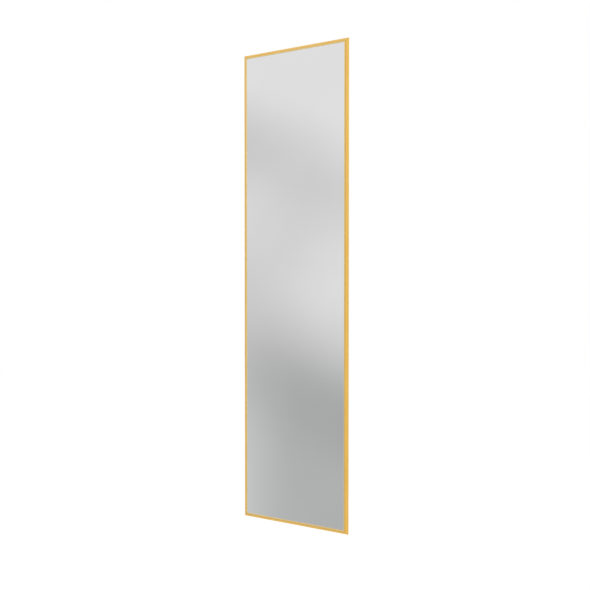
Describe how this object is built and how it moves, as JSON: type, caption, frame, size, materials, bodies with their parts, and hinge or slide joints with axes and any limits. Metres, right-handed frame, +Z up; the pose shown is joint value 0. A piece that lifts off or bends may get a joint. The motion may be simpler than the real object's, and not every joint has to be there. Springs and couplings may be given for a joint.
{
  "type": "full length wall mirror",
  "caption": "Tall narrow full length mirror in a slim gold metal frame with a sloped face, hung by swinging rings on its back.",
  "frame": {"origin": "middle of the wall plane: the plane the four bumpers touch, at half the width and half the height", "axes": "+X to the right of a person looking into the mirror, +Y from the mirror to the wall, +Z up; the glass faces -Y"},
  "size_m": [0.3, 0.021, 1.2],
  "materials": {
    "gold_frame": "gold anodised, satin, fine lines along each rail",
    "mirror": "clear silvered glass",
    "film": "thin safety film on the back of the glass",
    "foam": "white foam sheet",
    "board": "brown hardboard",
    "spring_steel": "blued spring steel",
    "zinc_plate": "zinc plated",
    "screw_steel": "zinc plated, slotted or cross recessed",
    "hanger_steel": "bright plated",
    "bumper": "soft translucent grey"
  },
  "bodies": {
    "frame": {"backing_board": "board", "bumper_bottom_left": "bumper", "bumper_bottom_right": "bumper", "bumper_top_left": "bumper", "bumper_top_right": "bumper", "corner_key_bottom_left": "zinc_plate", "corner_key_bottom_right": "zinc_plate", "corner_key_top_left": "zinc_plate", "corner_key_top_right": "zinc_plate", "corner_screws_bottom_left": "screw_steel", "corner_screws_bottom_right": "screw_steel", "corner_screws_top_left": "screw_steel", "corner_screws_top_right": "screw_steel", "corner_shim_bottom_left": "zinc_plate", "corner_shim_bottom_right": "zinc_plate", "corner_shim_top_left": "zinc_plate", "corner_shim_top_right": "zinc_plate", "foam_sheet": "foam", "frame_bottom": "gold_frame", "frame_left": "gold_frame", "frame_right": "gold_frame", "frame_top": "gold_frame", "hanger_nut_plate_left": "zinc_plate", "hanger_nut_plate_right": "zinc_plate", "hanger_screw_left": "screw_steel", "hanger_screw_right": "screw_steel", "hanger_strap_left": "hanger_steel", "hanger_strap_right": "hanger_steel", "mirror_glass": "mirror", "safety_film": "film", "spring_bottom": "spring_steel", "spring_left_1": "spring_steel", "spring_left_2": "spring_steel", "spring_left_3": "spring_steel", "spring_right_1": "spring_steel", "spring_right_2": "spring_steel", "spring_right_3": "spring_steel", "spring_top": "spring_steel"},
    "ring_left": {"hanger_ring_left": "hanger_steel"},
    "ring_right": {"hanger_ring_right": "hanger_steel"}
  },
  "joints": [
    {"name": "ring_left_swing", "type": "hinge", "parent": "frame", "child": "ring_left", "pos_m": [-0.13775, -0.0027, 0.42], "axis": [1, 0, 0], "range_deg": [0, 180]},
    {"name": "ring_right_swing", "type": "hinge", "parent": "frame", "child": "ring_right", "pos_m": [0.13775, -0.0027, 0.42], "axis": [1, 0, 0], "range_deg": [0, 180]}
  ]
}
